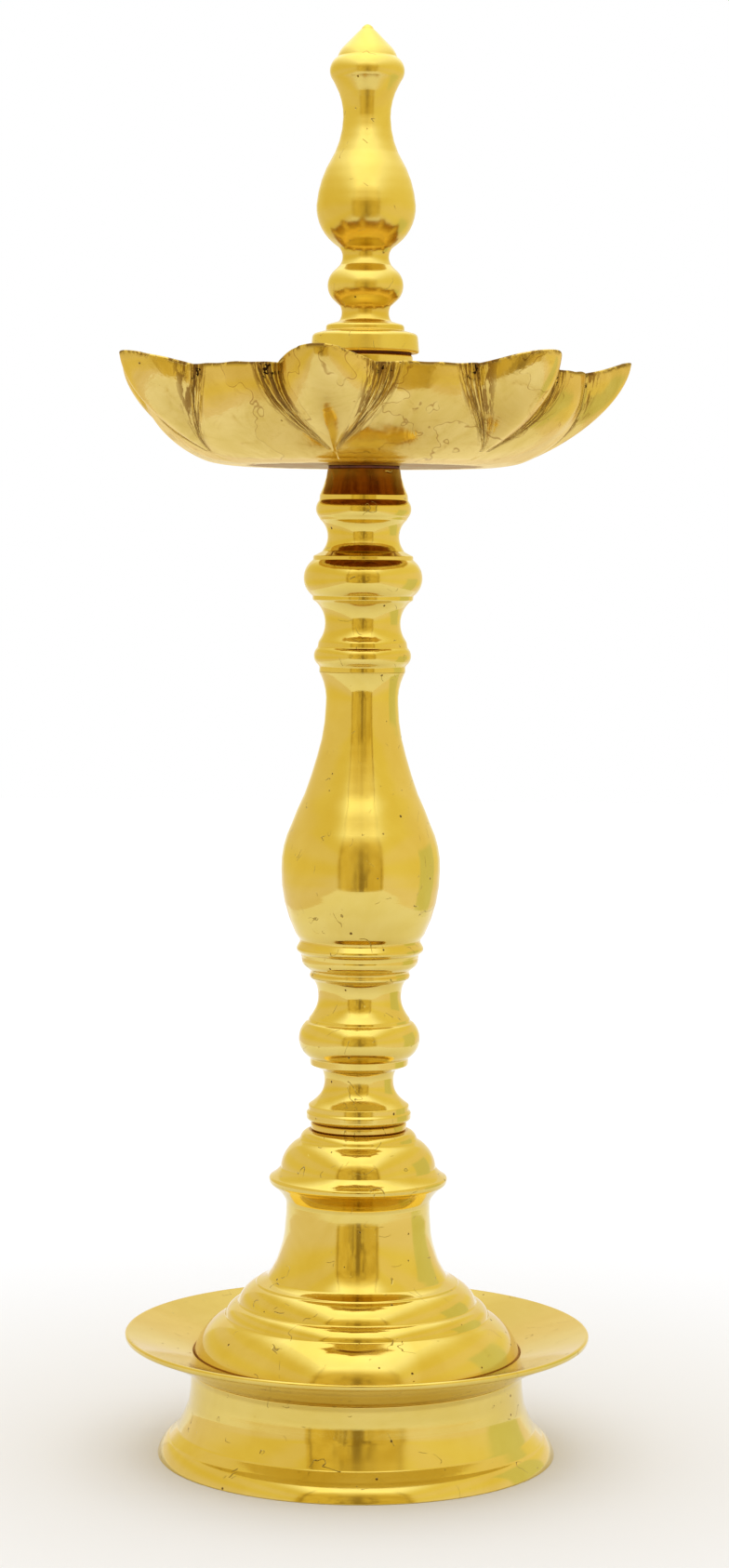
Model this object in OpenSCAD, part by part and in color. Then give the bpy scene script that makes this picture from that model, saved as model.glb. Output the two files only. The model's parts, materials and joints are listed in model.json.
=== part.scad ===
// Standing oil lamp of cast and turned brass, with a seven-beaked oil dish.
// Millimetres, +Z up. The origin is the centre of the foot's bottom face.
// The lamp unscrews at three places: stem from base, dish from stem, finial from dish.

/* [Base] */
// Radius of the foot's flange where it stands on the floor
foot_r = 64.2; // [63:0.1:70]
// Height of the foot ring up to its seam with the tray
foot_h = 27.8; // [27:0.1:34]
// Width of the foot's bottom face, measured along the radius
foot_land = 4.7; // [3:0.1:6]
// Radius of the drip tray's rim
tray_r = 74.9; // [70:0.1:90]
// Height of the tray's seat for the bell above the foot
tray_seat_h = 5.2; // [4:0.1:7]
// Height of the bell from the tray up to its flat top
bell_h = 72.3; // [70:0.1:85]
// Radius of the bell where it stands on the tray
bell_r = 52.4; // [50:0.1:53]
// Wall thickness of the hollow bell
bell_wall = 2.4; // [2:0.1:3]

/* [Stem] */
// Thickness of the plain ring that the stem tightens down on
seat_ring_h = 2.6; // [1.5:0.1:4]
// Radius of that ring
seat_ring_r = 15.4; // [14:0.1:16]
// Height of the lower stem casting
lower_h = 46.7; // [46:0.1:55]
// Largest radius of the lower stem, at the bead
lower_bead_r = 19.7; // [19:0.1:22]
// Height of the baluster casting
baluster_h = 98; // [94:0.1:120]
// Largest radius of the baluster
baluster_r = 25.45; // [24.5:0.05:28]
// Height of the upper stem casting
upper_h = 64.6; // [64:0.1:75]
// Largest radius of the upper stem, at its middle bead
upper_bead_r = 18.9; // [18.5:0.1:21]

/* [Dish] */
// Number of beaks, each of which takes one wick
beaks = 7; // [5:1:8]
// Angle of the first beak from straight ahead (-Y), towards +X
beak_turn = -9.6; // [-25:0.1:25]
// Radius at the tip of a beak
tip_r = 85.4; // [80:0.1:92]
// Radius of the rim between the beaks
rim_r = 71.3; // [66:0.1:76]
// Radius of the flat bottom
floor_r = 44.6; // [40:0.1:50]
// Height of the rim between the beaks, above the underside
rim_h = 29.5; // [24:0.1:36]
// How far a beak's tip rises above the rim
tip_rise = 4.2; // [2:0.1:8]
// Half of a beak's width at the rim, in degrees
beak_half = 12.2; // [10:0.1:14]
// Width of the fluted band beside each beak at the rim, in degrees
flute_band = 6; // [4:0.1:7]
// Thickness of the dish's floor
floor_t = 2; // [1.6:0.1:3]
// Thickness of the dish at its rim
rim_t = 1.3; // [1:0.1:2]
// Height of the hub above the dish's underside
hub_h = 35.2; // [34:0.1:40]
// Radius of the hub's bright top ring
hub_ring_r = 15.2; // [14:0.1:16.5]

/* [Finial] */
// Height of the finial
finial_h = 103.3; // [103:0.1:115]
// Radius of the finial's collar
collar_r = 17.2; // [16.8:0.1:19]
// Radius of the finial's onion
onion_r = 15.72; // [15.5:0.02:18]

/* [Screws and washers] */
// Thread diameter of every stud
thread_d = 9.52; // [8:0.02:10]
// How much smaller than its hole a stud is, on the diameter
thread_fit = 0.12; // [0.06:0.02:0.18]
// How far a stud reaches into the piece that screws onto it
grip = 14; // [13.5:0.1:15]
// Thickness of the leather washer under the dish
dish_washer_t = 0.8; // [0.4:0.1:1.5]
// Thickness of the leather washer under the finial
finial_washer_t = 0.5; // [0.4:0.1:1.5]

/* [Hidden] */

polished = [0.89, 0.73, 0.31];
cast = [0.76, 0.60, 0.24];
leather = [0.36, 0.13, 0.07];

$fn = 96;
arc_step = 8;       // degrees of arc in one straight piece of an outline
clear = 0.25;       // gap round the hub's end, where it is let into the dish's floor

// Heights of the seams, from the floor up
bell_z = foot_h + tray_seat_h;
ring_z = bell_z + bell_h;
lower_z = ring_z + seat_ring_h;
baluster_z = lower_z + lower_h;
upper_z = baluster_z + baluster_h;
neck_z = upper_z + upper_h;
dish_z = neck_z + dish_washer_t;
hub_z = dish_z + hub_h;
finial_z = hub_z + finial_washer_t;

stud_r = (thread_d - thread_fit) / 2;
hole_r = thread_d / 2;
plate_t = 4;        // thickness of the bell's top plate
nut_h = 7.8;
nut_flats = 15;
under_washer_r = 10.5;
under_washer_t = 1.5;
spigot_r = 7.9;     // the hub's end, let into the dish's floor
blind = 1;          // depth of a blind hole past the end of its stud

// ---- outlines -------------------------------------------------------------------------------
// A point is [radius, height] or [radius, height, bulge], from top to bottom. The bulge makes the
// way to the next point an arc: above 0 it swells outwards, below 0 it is hollow.

function xy(p) = [p.x, p.y];
function bulge(p) = len(p) > 2 ? p[2] : 0;
function turned_by(v, a) = [v.x * cos(a) - v.y * sin(a), v.x * sin(a) + v.y * cos(a)];

function arc_to(p, q, b) =
    b == 0 ? [q] :
    let (turn = 4 * atan(b),
         n = max(2, ceil(abs(turn) / arc_step)),
         half = (q - p) / 2,
         centre = p + half - [-half.y, half.x] / tan(turn / 2))
    [for (i = [1:n]) centre + turned_by(p - centre, -turn * i / n)];

function outline(points) =
    [for (i = [0:len(points) - 1])
        each (i == 0 ? [xy(points[0])]
                     : arc_to(xy(points[i - 1]), xy(points[i]), bulge(points[i - 1])))];

// A solid turned from an outline, closed along the axis
module turned(points) {
    side = outline(points);
    foot = side[len(side) - 1];
    rotate_extrude()
        polygon(concat([[0, side[0].y]], side, [[0, foot.y]]));
}

// A ring or shell turned from an outside and an inside outline
module shell(outside, inside) {
    within = outline(inside);
    rotate_extrude()
        polygon(concat(outline(outside), [for (i = [len(within) - 1:-1:0]) within[i]]));
}

module hole(from, to) {
    translate([0, 0, from])
        cylinder(h = to - from, r = hole_r);
}

module stud(from, to) {
    bevel = 0.8;
    rotate_extrude()
        polygon([[0, from], [stud_r - bevel, from], [stud_r, from + bevel],
                 [stud_r, to - bevel], [stud_r - bevel, to], [0, to]]);
}

module washer(r, from, t) {
    edge = t / 5;
    rotate_extrude()
        polygon([[hole_r, from], [r - edge, from], [r, from + edge],
                 [r, from + t - edge], [r - edge, from + t], [hole_r, from + t]]);
}

// ---- base -----------------------------------------------------------------------------------

module foot_ring() {
    outside = [[53.8, foot_h], [53.4, foot_h - 1.8, -0.04], [54.3, 16.5, -0.05], [57.7, 8.6],
               [60.4, 5.8, 0.05], [61.3, 5.2, 0.08], [foot_r - 1, 2.8, 0.08], [foot_r, 0]];
    inside = [[50.2, foot_h], [50.2, 21, -0.05], [52, 12, -0.06], [56.6, 5], [foot_r - foot_land, 0]];
    color(polished)
        shell(outside, inside);
}

module drip_tray() {
    rim_z = foot_h + 12;
    outside = [[bell_r + 0.2, bell_z], [bell_r + 0.6, bell_z + 0.6], [tray_r - 0.9, rim_z, 0.3],
               [tray_r, rim_z - 0.5], [tray_r - 0.1, rim_z - 1.4, 0.2],
               [tray_r - 1.4, rim_z - 2.2, -0.06], [53.8, foot_h]];
    inside = [[48.6, bell_z], [48.6, foot_h]];
    color(polished)
        shell(outside, inside);
}

module base_bell() {
    h = bell_h;
    outside = [
        [hole_r, h], [15.6, h, 0.32],                                       // flat top, small torus
        [18.7, h - 2.5], [19, h - 3.1], [19.6, h - 3.6, 0.24],              // cap
        [25, h - 12.1, -0.12], [28.3, h - 15.1, 0.3], [28.6, h - 16.3, 0.2], // sharp rim
        [28, h - 17.5, -0.12], [23.4, h - 22.4], [23.1, h - 23.6, -0.04],   // undercut
        [23.4, h - 30.3, -0.08], [25, h - 39.3, -0.09], [29, h - 47.6, -0.1], // waisted neck
        [32.5, 23, 0], [32.8, 22.5, 0.22], [38.4, 16.6],                    // upper torus
        [38.7, 16.2, 0.28], [42.6, 12.2],                                   // lower torus
        [43, 11.9, 0.22], [bell_r, 0.6], [bell_r, 0]];                      // dome
    inside = [
        [hole_r, h - plate_t], [15, h - plate_t, 0.3], [22, h - 13], [21.6, h - 19],
        [23.2 - bell_wall, h - 24, -0.08], [25 - bell_wall, h - 39.3, -0.12],
        [31.2 - bell_wall, 22], [36.5 - bell_wall, 15.4], [43 - bell_wall, 9.2, 0.15],
        [bell_r - bell_wall - 0.3, 0]];
    color(polished)
        translate([0, 0, bell_z])
            shell(outside, inside);
}

module base_stud() {
    color(polished)
        stud(ring_z - plate_t - under_washer_t - nut_h - 2, lower_z + grip);
}

module base_stud_washer() {
    color(polished)
        washer(under_washer_r, ring_z - plate_t - under_washer_t, under_washer_t);
}

module base_stud_nut() {
    from = ring_z - plate_t - under_washer_t - nut_h;
    color(polished)
        difference() {
            translate([0, 0, from])
                cylinder(h = nut_h, r = nut_flats / 2 / cos(30), $fn = 6);
            hole(from - 1, from + nut_h + 1);
        }
}

// ---- stem -----------------------------------------------------------------------------------

module stem_seat_ring() {
    color(polished)
        washer(seat_ring_r, ring_z, seat_ring_h);
}

module stem_lower() {
    h = lower_h;
    bead = lower_bead_r;
    side = [
        [16, h], [14.8, h - 0.9, -0.14], [13.4, h - 4.8, -0.15], [14.3, 36.4, -0.06],   // upper cove
        [16.2, 33.4], [16.35, 32.5], [bead - 2.4, 32.1, 0.46], [bead - 3.1, 21.3],      // bead
        [15.8, 20.7], [15.7, 18.5], [14, 17.9], [12, 16.9, -0.15],                      // thin ring
        [11.15, 13.7, -0.2], [12.8, 8.4, -0.07], [15.6, 5.9],                           // waist
        [16.15, 5.5], [16.2, 3.8], [16.8, 3.1], [16.8, 1.3], [16.3, 0.7], [15, 0]];     // two rings
    color(polished)
        translate([0, 0, lower_z])
            difference() {
                turned(side);
                hole(-1, grip + blind);
                hole(h - grip + 2 - blind, h + 1);
            }
}

module lower_joint_stud() {
    color(polished)
        stud(baluster_z - grip + 2, baluster_z + grip - 2);
}

module stem_baluster() {
    h = baluster_h;
    bulb = baluster_r;
    side = [
        [13.75, h], [13.2, h - 1.1, -0.13], [11.6, h - 10.4, -0.07],                    // slim neck
        [14.2, h - 26.8, -0.02], [18.1, h - 39, 0.03], [22.3, h - 48.9, 0.12],          // long flare
        [bulb, h - 63, 0.12], [20.6, 14], [19.4, 12.3], [19.3, 11.5],                   // bulb
        [20.15, 10, 0.35], [20, 8.4], [19, 7.6], [18.7, 6.3, 0.2], [17.9, 3.8],         // rings
        [16, 2.3], [15.8, 1.8], [15.8, 1.3], [16.1, 0.9], [16, 0]];
    color(polished)
        translate([0, 0, baluster_z])
            difference() {
                turned(side);
                hole(-1, grip - 2 + blind);
                hole(h - grip + 2 - blind, h + 1);
            }
}

module upper_joint_stud() {
    color(polished)
        stud(upper_z - grip + 2, upper_z + grip - 2);
}

module stem_upper() {
    h = upper_h;
    bead = upper_bead_r;
    side = [
        [11.5, h, -0.08], [14, h - 8.4], [14.1, h - 10],                                // neck
        [14.3, h - 10.3, 0.36], [14.2, h - 15.4], [13.8, h - 16.2, -0.37],              // top bead
        [12.5, 39.3], [13.1, 38.3], [15, 37.3], [15.9, 36.9], [15.95, 35.7],            // fillet
        [bead - 2.5, 35.3, 0.44], [bead - 2.1, 24.8], [16.1, 24.2], [16, 22.9],         // middle bead
        [14.9, 22.2, -0.36], [13.5, 10.5], [13.8, 10], [14.1, 9.4], [14.35, 7.8],       // cove
        [14.6, 7.5, 0.42], [14.2, 2.3], [13.7, 1.6], [13.75, 0]];                       // low bead
    color(polished)
        translate([0, 0, upper_z])
            difference() {
                turned(side);
                hole(-1, grip - 2 + blind);
                hole(h - grip + 2 - blind, h + 1);
            }
}

module dish_stud() {
    color(polished)
        stud(neck_z - grip + 2, dish_z + grip);
}

module dish_washer() {
    color(leather)
        washer(11.3, neck_z, dish_washer_t);
}

// ---- dish -----------------------------------------------------------------------------------
// The dish's surface is a closed grid: rows run from the hole in the floor out along the
// underside, up the outside, over the rim and back down the inside. Columns run round the dish,
// and follow the creases, which draw together towards the bottom of each beak.

sector = 360 / beaks / 2;
crease_foot = 3.2;   // height at which a beak's two creases meet
crease_depth = 1;    // depth of the crease beside the beak
rows = 12;

// Places of the columns in half a sector: 0 to 1 the beak, 1 to 2 the flutes, 2 to 3 plain wall
half_sector = [0, 0.22, 0.5, 0.78, 1, 1.3, 1.65, 2, 2.5, 3];
last = len(half_sector) - 1;
places = concat([for (k = [last - 1:-1:1]) -half_sector[k]], half_sector);

function wall_at(z) = floor_r + (rim_r - floor_r) * pow(1 - pow(1 - min(z / rim_h, 1), 2.2), 0.67);
function keel_at(z) =
    floor_r + (tip_r - floor_r) * pow(1 - pow(1 - min(z / (rim_h + tip_rise), 1), 1.7), 0.76);
function opened(z) = max(0, min((z - crease_foot) / (rim_h - crease_foot), 1));
function beak_width(z) = beak_half * max(0.06, 1 - pow(1 - opened(z), 2.2));
function flute_width(z) = flute_band * max(0.3, pow(opened(z), 0.5));
function prow(u) = 1 - pow((sqrt(u * u + 0.02) - 0.1414) / 0.8685, 1.25);
function flute(v) = v >= 1 ? 0 : -crease_depth * (0.5 + 0.5 * cos(540 * v)) * (1 - v);

function angle_of(p, z) =
    let (a = abs(p), w = beak_width(z), f = flute_width(z))
    sign(p) * (a <= 1 ? a * w : a <= 2 ? w + (a - 1) * f : w + f + (a - 2) * (sector - w - f));

function radius_of(p, z) =
    let (a = abs(p))
    a <= 1 ? wall_at(z) + (keel_at(z) - wall_at(z)) * prow(a) - crease_depth * opened(z) * pow(a, 4)
           : wall_at(z) + opened(z) * flute(a - 1);

function rim_of(p) = rim_h + (abs(p) < 1 ? tip_rise * pow(cos(90 * abs(p)), 1.1) : 0);

// Height of row k: closer together near the floor, where the wall curves most
function height_of(p, k) = rim_of(p) * pow(k / rows, 1.5);

function outer(p, k) = [radius_of(p, height_of(p, k)), height_of(p, k)];

function inner(p, k) =
    let (here = outer(p, k),
         way = outer(p, min(k + 1, rows)) - outer(p, max(k - 1, 0)),
         t = (floor_t + (rim_t - floor_t) * k / rows) / norm(way))
    k == 0 ? [floor_r, floor_t] : k == rows ? [here.x - rim_t, here.y]
           : [here.x - t * way.y, here.y + t * way.x];

function section(p) = concat(
    [[spigot_r + clear, 0, 0]],
    [for (k = [0:rows]) [outer(p, k).x, outer(p, k).y, height_of(p, k)]],
    [for (k = [rows:-1:0]) [inner(p, k).x, inner(p, k).y, height_of(p, k)]],
    [[spigot_r + clear, floor_t, 0]]);

module oil_dish() {
    n = len(places);
    around = n * beaks;
    m = 2 * rows + 4;
    points = [for (b = [0:beaks - 1]) for (p = places) for (s = section(p))
        let (a = -90 + beak_turn + b * 2 * sector + angle_of(p, s[2]))
        [s.x * cos(a), s.x * sin(a), s.y]];
    faces = [for (i = [0:around - 1]) for (j = [0:m - 1])
        let (i2 = (i + 1) % around, j2 = (j + 1) % m)
        each [[i * m + j, i * m + j2, i2 * m + j2], [i * m + j, i2 * m + j2, i2 * m + j]]];
    color(cast)
        translate([0, 0, dish_z])
            polyhedron(points = points, faces = faces);
}

module dish_hub() {
    h = hub_h;
    ring = hub_ring_r;
    side = [
        [ring - 0.6, h], [ring, h - 0.6], [ring, h - 6.6], [ring - 0.8, h - 7.4, -0.3],  // top ring
        [10.6, h - 13], [10.6, 12, -0.3], [15.4, floor_t + 3.2, 0.3],                     // waist
        [17, floor_t + 1], [17, floor_t], [spigot_r, floor_t], [spigot_r, 0]];            // flange
    color(polished)
        translate([0, 0, dish_z])
            difference() {
                turned(side);
                hole(-1, h + 1);
            }
}

// ---- finial ---------------------------------------------------------------------------------

module finial_washer() {
    color(leather)
        washer(hub_ring_r - 0.4, hub_z, finial_washer_t);
}

module finial_stud() {
    color(polished)
        stud(finial_z - grip, finial_z + grip - 1);
}

module finial() {
    h = finial_h;
    onion = onion_r;
    side = [
        [0, h, 0.25], [2, h - 1.6], [3.1, h - 2.6], [7.6, h - 7.2, 0.12],                 // tip
        [9.4, h - 10.3], [9.7, h - 10.6, 0.43], [10.8, h - 17.6], [10, h - 19.1, -0.13],  // small bead
        [7.5, h - 29.2, -0.1], [10, h - 40.2], [10.8, h - 41.7, 0.12],                    // cove
        [onion, h - 56.7, 0.24], [10.3, 34.7], [8.5, 33.3, -0.32],                        // onion
        [7.9, 28.3], [8.2, 27.7], [9.5, 26.4, 0.45], [10.2, 16.9], [8, 14.9, -0.25],      // low bead
        [8.1, 10.5], [8.5, 10], [11.6, 9.1, 0.3], [12.4, 8.3], [12.5, 7.1],               // step
        [15.4, 6.3, 0.35], [collar_r - 0.4, 4.9], [collar_r, 0.7, 0.3], [collar_r - 0.6, 0]]; // collar
    color(polished)
        translate([0, 0, finial_z])
            difference() {
                turned(side);
                hole(-1, grip - 1 + blind);
            }
}

foot_ring();
drip_tray();
base_bell();
base_stud();
base_stud_washer();
base_stud_nut();
stem_seat_ring();
stem_lower();
lower_joint_stud();
stem_baluster();
upper_joint_stud();
stem_upper();
dish_stud();
dish_washer();
oil_dish();
dish_hub();
finial_washer();
finial_stud();
finial();
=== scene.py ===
"""Standing oil lamp of cast and turned brass: finer meshes, materials, light and camera.

The CAD model is the frame. Each turned piece is rebuilt from its own CAD outline with smooth arcs
and small rounded edges. The dish is rebuilt from the same formula as the CAD source, on a finer
grid, and the studs get their screw threads. Lengths are in metres, except in the dish's formula.
"""
import json
import math

import bpy
import numpy as np
from mathutils import Matrix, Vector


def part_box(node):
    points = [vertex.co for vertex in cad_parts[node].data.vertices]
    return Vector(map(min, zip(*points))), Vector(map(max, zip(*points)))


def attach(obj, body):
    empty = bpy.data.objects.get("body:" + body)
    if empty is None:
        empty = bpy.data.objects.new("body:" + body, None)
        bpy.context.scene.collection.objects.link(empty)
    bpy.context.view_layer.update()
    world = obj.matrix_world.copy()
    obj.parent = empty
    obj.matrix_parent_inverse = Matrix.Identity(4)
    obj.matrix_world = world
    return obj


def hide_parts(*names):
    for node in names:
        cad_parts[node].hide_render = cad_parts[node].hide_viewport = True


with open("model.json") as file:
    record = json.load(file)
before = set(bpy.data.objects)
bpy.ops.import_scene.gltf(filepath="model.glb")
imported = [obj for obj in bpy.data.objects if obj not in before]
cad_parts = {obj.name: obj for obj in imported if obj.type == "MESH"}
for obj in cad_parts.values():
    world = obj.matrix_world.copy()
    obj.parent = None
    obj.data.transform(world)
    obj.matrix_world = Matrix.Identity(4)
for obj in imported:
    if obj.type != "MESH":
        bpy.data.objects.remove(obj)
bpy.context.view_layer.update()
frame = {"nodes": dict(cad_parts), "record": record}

scene = bpy.context.scene
MM = 0.001


# ---- camera -------------------------------------------------------------------------------------
# Fitted to the outline of the lamp in the photo.

SENSOR_MM, LENS_MM = 36, 78.28
CAMERA_AT = (0.0010, -1.0891, 0.2877)
DEGREES_DOWN, DEGREES_ROLLED = 3.73, 0.48


def make_camera():
    data = bpy.data.cameras.new("camera")
    data.sensor_width = SENSOR_MM
    data.lens = LENS_MM
    camera = bpy.data.objects.new("camera", data)
    tilt = Matrix.Rotation(math.radians(90 - DEGREES_DOWN), 4, "X")
    roll = Matrix.Rotation(math.radians(DEGREES_ROLLED), 4, "Z")
    camera.rotation_mode = "QUATERNION"
    camera.rotation_quaternion = (tilt @ roll).to_quaternion()
    camera.location = CAMERA_AT
    scene.collection.objects.link(camera)
    scene.camera = camera


make_camera()
scene.view_settings.view_transform = "Standard"


# ---- shader helpers -----------------------------------------------------------------------------

def add(tree, kind, inputs=None, **settings):
    """A node of that kind. Each input is a number, a colour or another node's output."""
    made = tree.nodes.new(kind)
    for key, value in settings.items():
        setattr(made, key, value)
    for key, value in (inputs or {}).items():
        if isinstance(value, bpy.types.NodeSocket):
            tree.links.new(value, made.inputs[key])
        else:
            made.inputs[key].default_value = value
    return made


def maths(tree, operation, a, b=0.0, clamp=False):
    return add(tree, "ShaderNodeMath", {0: a, 1: b}, operation=operation, use_clamp=clamp).outputs[0]


def times(tree, a, b):
    return maths(tree, "MULTIPLY", a, b)


def most(tree, a, b):
    return maths(tree, "MAXIMUM", a, b)


def total(tree, first, *others):
    """The sum, held between 0 and 1."""
    for i, other in enumerate(others, 1):
        first = maths(tree, "ADD", first, other, clamp=i == len(others))
    return first


def band(tree, value, low, high, start=0.0, end=1.0):
    """value carried from low..high to start..end, smoothly, and held there outside."""
    found = add(tree, "ShaderNodeMapRange", {0: value, 1: low, 2: high, 3: start, 4: end},
                interpolation_type="SMOOTHSTEP")
    return found.outputs[0]


def between(tree, value, rise, fall, full=1.0):
    """full from the end of rise to the start of fall, and 0 outside both."""
    return times(tree, band(tree, value, *rise), band(tree, value, *fall, full, 0))


def contour(tree, value, level, near, far, full=1.0):
    """full where value is within near of level, fading to 0 at far from it."""
    return band(tree, maths(tree, "ABSOLUTE", maths(tree, "SUBTRACT", value, level)), near, far, full, 0)


def blend(tree, share, a, b):
    """Colour a where share is 0, and b where it is 1."""
    return add(tree, "ShaderNodeMix", {0: share, 6: a, 7: b}, data_type="RGBA").outputs[2]


def layered(tree, tone, *layers):
    """The tone under layers of (share, colour), the last one on top."""
    for share, over in layers:
        tone = blend(tree, share, tone, over)
    return tone


def bumped(tree, *layers):
    """The surface direction made by layers of (height, distance, strength)."""
    normal = None
    for height, distance, strength in layers:
        inputs = {"Height": height, "Distance": distance, "Strength": strength}
        if normal is not None:
            inputs["Normal"] = normal
        normal = add(tree, "ShaderNodeBump", inputs).outputs[0]
    return normal


def colour(r, g, b):
    return (r, g, b, 1.0)


def attributes(tree, *names):
    return [add(tree, "ShaderNodeAttribute", attribute_name=name).outputs["Fac"] for name in names]


def place(tree):
    return add(tree, "ShaderNodeTexCoord").outputs["Object"]


def split(tree, vector):
    return add(tree, "ShaderNodeSeparateXYZ", {0: vector}).outputs[:]


def scaled(tree, *parts):
    """A vector made of up to three (value, scale) pairs, each value times its scale."""
    return add(tree, "ShaderNodeCombineXYZ",
               {axis: times(tree, *part) for axis, part in enumerate(parts)}).outputs[0]


def length_of(tree, vector):
    return add(tree, "ShaderNodeVectorMath", {0: vector}, operation="LENGTH").outputs["Value"]


def noise(tree, vector, scale=1.0, detail=2.0, rough=0.5, bend=0.0):
    return add(tree, "ShaderNodeTexNoise",
               {"Vector": vector, "Scale": scale, "Detail": detail, "Roughness": rough,
                "Distortion": bend}).outputs["Fac"]


def pits(tree, vector, scale, size, share):
    """1 in small round pits. That share of the cells may have one, with a radius of up to size cells."""
    cells = add(tree, "ShaderNodeTexVoronoi", {"Vector": vector, "Scale": scale})
    chance = add(tree, "ShaderNodeSeparateColor", {0: cells.outputs["Color"]})
    picked = maths(tree, "LESS_THAN", chance.outputs[0], share)
    radius = band(tree, chance.outputs[1], 0, 1, size * 0.35, size)
    off = maths(tree, "DIVIDE", cells.outputs["Distance"], radius)
    return times(tree, picked, band(tree, maths(tree, "SUBTRACT", 1.0, off, True), 0, 0.5))


def metal(name):
    made = bpy.data.materials.new(name)
    made.use_nodes = True
    tree = made.node_tree
    shader = tree.nodes["Principled BSDF"]
    shader.inputs["Metallic"].default_value = 1.0
    return made, tree, shader


def wire(tree, shader, **links):
    for key, value in links.items():
        tree.links.new(value, shader.inputs[key.replace("_", " ")])


# ---- polished brass -----------------------------------------------------------------------------

BRASS, BRASS_PALE = colour(0.72, 0.54, 0.12), colour(0.77, 0.6, 0.17)
# The deeper orange for closed-in places is partly patina and partly painted shade.
BRASS_SHADE_AND_PATINA, BRASS_HAZY = colour(0.66, 0.39, 0.04), colour(0.8, 0.65, 0.2)
BRASS_DIRT, BRASS_PIT = colour(0.34, 0.15, 0.03), colour(0.16, 0.09, 0.035)
SKIN_DARK, SKIN_PALE = colour(0.34, 0.19, 0.06), colour(0.54, 0.34, 0.1)
AROUND, FINE_LINES, BROAD_LINES = 14, 2400, 420     # how often the turning lines vary, per metre


def polished_brass():
    """Turned and buffed brass: fine lines round the axis, cloudy buffing, brown dirt in the recesses and a
    deeper orange there that is patina and painted shade, a few casting pits and short scratches, and
    the rough skin of the casting inside the hollow base."""
    made, tree, shader = metal("polished_brass")
    at = place(tree)
    x, y, _ = split(tree, at)
    along, recess, raw, soft = attributes(tree, "along", "recess", "raw", "soft")
    fine = noise(tree, scaled(tree, (x, AROUND), (y, AROUND), (along, FINE_LINES)), detail=3, rough=0.6)
    broad = noise(tree, scaled(tree, (x, AROUND), (y, AROUND), (along, BROAD_LINES)), detail=2, rough=0.5)
    cloud = noise(tree, at, scale=42, detail=4, rough=0.6, bend=0.6)
    speck = noise(tree, at, scale=900, detail=3, rough=0.6)
    haze = band(tree, noise(tree, at, scale=17, detail=3, rough=0.55, bend=0.4), 0.5, 0.72)

    pitted = pits(tree, at, scale=190, size=0.1, share=0.5)
    pinholes = pits(tree, at, scale=620, size=0.24, share=0.06)
    pinholes = times(tree, pinholes, band(tree, cloud, 0.56, 0.7))
    scratch = noise(tree, at, scale=55, detail=2, rough=0.5, bend=1.2)
    scratch = contour(tree, scratch, 0.5, 0.001, 0.004, 0.6)
    short = band(tree, noise(tree, at, scale=150, detail=2, rough=0.5), 0.58, 0.62)
    holes = most(tree, most(tree, pitted, pinholes), times(tree, scratch, short))
    dirt = times(tree, band(tree, recess, 0.55, 1), band(tree, cloud, 0.25, 0.7, 0.3, 0.7))

    tone = layered(tree, blend(tree, band(tree, cloud, 0.3, 0.7), BRASS, BRASS_PALE),
                   # Deeper orange where neighbours close the outline in: patina and painted shade.
                   (band(tree, recess, 0.2, 0.75, 0, 0.55), BRASS_SHADE_AND_PATINA),
                   (times(tree, haze, 0.35), BRASS_HAZY),
                   (dirt, BRASS_DIRT),
                   (holes, BRASS_PIT),
                   (raw, blend(tree, band(tree, speck, 0.3, 0.7), SKIN_DARK, SKIN_PALE)))
    dull = total(tree, band(tree, cloud, 0.35, 0.75, 0.08, 0.14), times(tree, haze, 0.09),
                 times(tree, soft, 0.13), band(tree, dirt, 0, 1, 0, 0.3), times(tree, holes, 0.4),
                 times(tree, raw, 0.42))
    face = bumped(tree, (maths(tree, "ADD", times(tree, fine, 0.5), broad), 0.000012, 0.7),
                  (cloud, 0.00012, 0.35),
                  (times(tree, holes, -1), 0.00035, 0.9),
                  (times(tree, speck, raw), 0.0006, 1.0))
    wire(tree, shader, Base_Color=tone, Roughness=dull, Normal=face)
    return made


# ---- cast brass ---------------------------------------------------------------------------------

CAST, CAST_PALE = colour(0.66, 0.48, 0.12), colour(0.78, 0.59, 0.2)
CAST_PATCH, CAST_SHORE = colour(0.56, 0.36, 0.07), colour(0.6, 0.4, 0.08)
CAST_INSIDE, CAST_TIDE = colour(0.56, 0.34, 0.05), colour(0.36, 0.19, 0.04)
CAST_FILED, CAST_DIRT = colour(0.26, 0.13, 0.025), colour(0.17, 0.085, 0.025)
CAST_CHIP = colour(0.03, 0.013, 0.006)
CRUST_DARK, CRUST_RED = colour(0.1, 0.018, 0.001), colour(0.24, 0.065, 0.004)
EDGE_TINT = colour(1, 0.92, 0.7)
SHORE = 0.52            # the level of the noise at which a stain ends in a tide line


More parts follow.
